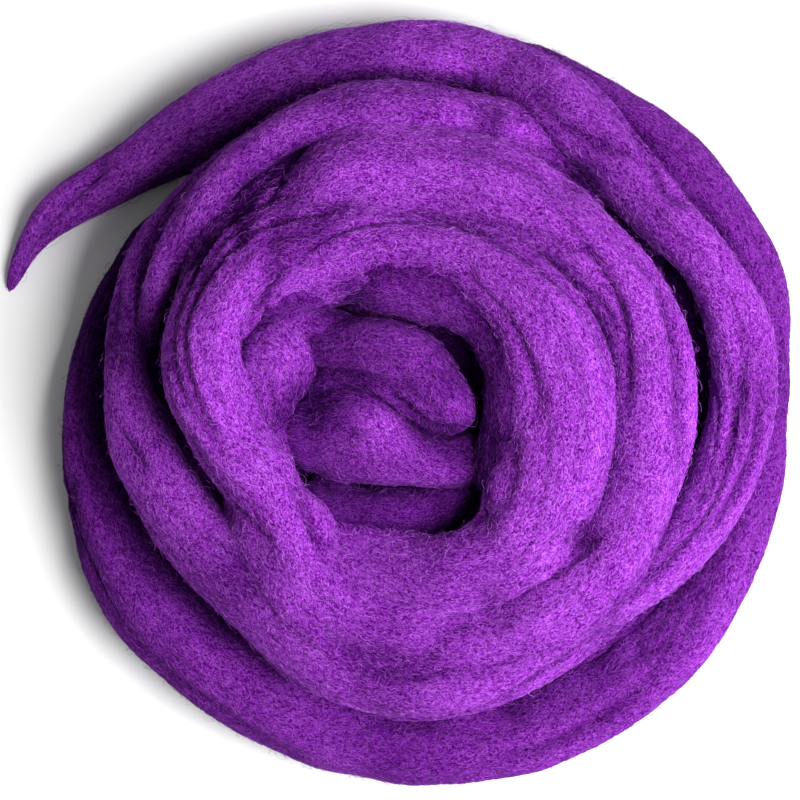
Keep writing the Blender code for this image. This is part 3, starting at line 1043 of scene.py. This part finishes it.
def stray_fibres(strands, material):
    """Long single fibres that lie loosely over the turns."""
    heights = blurred(wool_heights(strands), STRAY_BLUR)
    lines = []
    for stray in STRAYS:
        corners = np.array(stray.line, float)
        at = distances(corners)
        where = np.linspace(0, at[-1], STRAY_STATIONS)
        plan = smooth_through(at, corners, where)
        ahead = unit(np.gradient(plan, axis=0))
        sway = STRAY_CRIMP * np.sin(2 * math.pi * where / STRAY_WAVE)[:, None]
        plan = plan + sway * np.stack([-ahead[:, 1], ahead[:, 0]], axis=1)
        x, y = map_cells(plan).T
        lines.append(np.column_stack([plan, heights[x, y] + stray.over]))
    line = np.array(lines)
    across = unit(np.cross(np.gradient(line, axis=1), [0.0, 0.0, 1.0]))
    outward = np.broadcast_to([0.0, 0.0, 1.0], line.shape)
    full_light = np.ones(len(line))
    fibre_mesh("stray_fibres", line, across, outward, STRAY_WIDTH, full_light, full_light, material)


class Nodes:
    """A short way to add nodes to a material and to link them."""

    def __init__(self, name):
        self.material = bpy.data.materials.new(name)
        self.material.use_nodes = True
        self.tree = self.material.node_tree
        self.shader = self.tree.nodes["Principled BSDF"]

    def add(self, kind, settings=None, **inputs):
        node = self.tree.nodes.new(kind)
        for key, value in (settings or {}).items():
            setattr(node, key, value)
        for key, value in inputs.items():
            self.feed(node.inputs[key], value)
        return node

    def feed(self, socket, value):
        if isinstance(value, bpy.types.NodeSocket):
            self.tree.links.new(value, socket)
        else:
            socket.default_value = value

    def math(self, operation, *values):
        node = self.add("ShaderNodeMath", {"operation": operation})
        for socket, value in zip(node.inputs, values):
            self.feed(socket, value)
        return node.outputs[0]

    def read(self, name):
        return self.add("ShaderNodeAttribute", {"attribute_name": name}).outputs["Fac"]

    def with_painted_shade(self, colour, light):
        """The dye's colour with painted shade: darker and more violet the less light it is painted with.
        """
        shade = self.ramp(light, SHADES)
        node = self.add("ShaderNodeMix", {"data_type": "RGBA", "blend_type": "MULTIPLY"})
        self.feed(node.inputs["Factor"], 1.0)
        for socket in node.inputs:
            if socket.type == "RGBA":
                self.feed(socket, shade if socket.name == "A" else colour)
        return next(socket for socket in node.outputs if socket.type == "RGBA")

    def ramp(self, factor, stops):
        node = self.add("ShaderNodeValToRGB", Fac=factor)
        elements = node.color_ramp.elements
        for place, colour in stops[2:]:
            elements.new(place)
        for element, (place, colour) in zip(sorted(elements, key=lambda e: e.position), sorted(stops)):
            element.position = place
            element.color = (*colour, 1)
        return node.outputs["Color"]


def thin_lines(nodes, place, scale):
    """Bright curly lines about one unit of the pattern apart, like fine fibres."""
    texture = nodes.add("ShaderNodeTexNoise", Vector=place, Scale=scale, **LINE_NOISE)
    away = nodes.math("ABSOLUTE", nodes.math("SUBTRACT", texture.outputs["Fac"], 0.5))
    return nodes.math("MAXIMUM", nodes.math("MULTIPLY_ADD", away, -LINE_THINNESS, 1.0), 0.0)


def mottled(nodes):
    """The curly lines, streaks and patches of the dye, mixed by their weights."""
    along, around = nodes.read("along"), nodes.read("around")
    place = nodes.add("ShaderNodeTexCoord").outputs["Object"]
    slowly = nodes.math("MULTIPLY", along, STREAK_STRETCH)
    laid = nodes.add("ShaderNodeCombineXYZ", X=slowly, Y=around).outputs[0]
    mixed = 0.0
    for where, kind in ((place, CURLY_LINES), (place, SMALL_LINES), (laid, STREAKS)):
        lines = thin_lines(nodes, where, kind.scale)
        mixed = nodes.math("MULTIPLY_ADD", lines, kind.weight, mixed)
    patches = nodes.add("ShaderNodeTexNoise", Vector=place, Scale=PATCHES.scale, Detail=PATCH_DETAIL)
    return nodes.math("MULTIPLY_ADD", patches.outputs["Fac"], PATCHES.weight, mixed)


def wool_material():
    nodes = Nodes("wool")
    shader = nodes.shader
    mixed = mottled(nodes)
    colour = nodes.ramp(mixed, WOOL_DYE)
    nodes.feed(shader.inputs["Base Color"], nodes.with_painted_shade(colour, nodes.read("light")))
    bump = nodes.add("ShaderNodeBump", Height=mixed, Strength=BUMP_STRENGTH, Distance=BUMP_DEPTH)
    nodes.feed(shader.inputs["Normal"], bump.outputs["Normal"])
    shader.inputs["Roughness"].default_value = 0.9
    shader.inputs["Specular IOR Level"].default_value = 0.02
    shader.inputs["Sheen Weight"].default_value = 0.05
    shader.inputs["Sheen Roughness"].default_value = 0.5
    shader.inputs["Sheen Tint"].default_value = (0.60, 0.30, 0.90, 1)
    return nodes.material


def fibre_material():
    nodes = Nodes("fibres")
    colour = nodes.ramp(nodes.read("tone"), FIBRE_DYE)
    nodes.feed(nodes.shader.inputs["Base Color"], nodes.with_painted_shade(colour, nodes.read("light")))
    nodes.shader.inputs["Roughness"].default_value = 0.7
    nodes.shader.inputs["Specular IOR Level"].default_value = 0.04
    return nodes.material


def make_camera():
    camera = bpy.data.objects.new("camera", bpy.data.cameras.new("camera"))
    camera.data.lens = CAMERA_LENS
    camera.data.sensor_width = CAMERA_SENSOR
    distance = FRAME_WIDTH * CAMERA_LENS / CAMERA_SENSOR
    camera.location = (0, 0, FRAME_PLANE + distance)
    camera.data.clip_end = 2 * distance
    bpy.context.scene.collection.objects.link(camera)
    bpy.context.scene.camera = camera


def make_light():
    lamp = bpy.data.lights.new("key", "AREA")
    lamp.size = KEY_SIZE
    lamp.energy = KEY_POWER
    obj = bpy.data.objects.new("key", lamp)
    obj.location = KEY_PLACE
    obj.rotation_euler = Vector(KEY_PLACE).to_track_quat("Z", "Y").to_euler()
    bpy.context.scene.collection.objects.link(obj)


def make_floor():
    bpy.ops.mesh.primitive_plane_add(size=FLOOR_SIDE)
    floor = bpy.context.object
    floor.name = "floor"
    material = bpy.data.materials.new("pale_floor")
    material.use_nodes = True
    shader = material.node_tree.nodes["Principled BSDF"]
    shader.inputs["Base Color"].default_value = (0.93, 0.93, 0.93, 1)
    shader.inputs["Roughness"].default_value = 0.8
    floor.data.materials.append(material)


def make_sky():
    world = bpy.data.worlds.new("studio")
    world.use_nodes = True
    background = world.node_tree.nodes["Background"]
    background.inputs["Color"].default_value = (1, 1, 1, 1)
    background.inputs["Strength"].default_value = SKY_STRENGTH
    bpy.context.scene.world = world


def make_stage():
    make_camera()
    make_floor()
    make_light()
    make_sky()
    bpy.context.scene.view_settings.view_transform = "Standard"


def make_strands():
    """The turns and folds of the nest, the loose end and the turns hidden below."""
    strands = [Strand(form) for form in FORMS]
    hidden = []
    for number, level in enumerate(HIDDEN_LEVELS):
        name = f"hidden_turns_{number + 1}"
        form = Form(name, hidden_spiral(level), ROUND, 0, HIDDEN_LIGHT, HIDDEN_SEED + number)
        hidden.append(Strand(form, COARSE, COARSE_SIDES))
    return strands, Strand(LOOSE_FORM), hidden


def shape_strands(strands, loose, hidden):
    """Combs, creases and dents the strands, and runs them together where they meet."""
    second, every = strands[1], [*strands, loose, *hidden]
    for strand in [*strands, loose]:
        comb(strand)
        press_creases(strand)
        press_spots(strand)
    for strand in [*strands, loose]:
        joined_to = {loose: second, second: loose}.get(strand)
        fill_grooves(strand, [other for other in every if other is not joined_to])
        strand.settle_on_table()
    for strand in hidden:
        strand.clear = clearances(strand, every)
        strand.settle_on_table()
    maps = [blurred(wool_heights(every), reach) for reach in MAP_REACHES]
    for strand in every:
        strand.open = openness(strand, maps)


def coat_nest(strands, hidden, total, fibre):
    """The fibres of the nest. Its first four strands have a coat each, and every mesh its own seed."""
    for number, strand in enumerate(strands[:COATED_ALONE]):
        coat_object(f"coat_{strand.name}", [strand], SHORT_COAT, total, fibre, number + 1)
    coat_object("coat_folds", strands[COATED_ALONE:], SHORT_COAT, total, fibre, 5)
    coat_object("coat_hidden_turns", hidden, SHORT_COAT, total, fibre, 9)
    coat_object("curls", strands, CURLS, total, fibre, 6)
    coat_object("frizz", strands, FRIZZ, total, fibre, 8)


def declare_loose_end(end_wool):
    """Hides the imported model's loose end."""
    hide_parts("loose_end")


def main():
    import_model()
    make_stage()
    wool, fibre = wool_material(), fibre_material()
    strands, loose, hidden = make_strands()
    shape_strands(strands, loose, hidden)
    skins = [strand_object(strand, wool) for strand in [*strands, *hidden]]
    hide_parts("wound_nest")
    every = [*strands, loose, *hidden]
    total = sum(open_area(strand) for strand in every)
    coat_nest(strands, hidden, total, fibre)
    end_coat = coat_object("coat_loose_end", [loose], SHORT_COAT, total, fibre, 7)
    wisps = coat_object("wisps_loose_end", [loose], WISPS, open_area(loose), fibre, 10)
    stray_fibres(every, fibre)
    declare_loose_end(strand_object(loose, wool))


main()
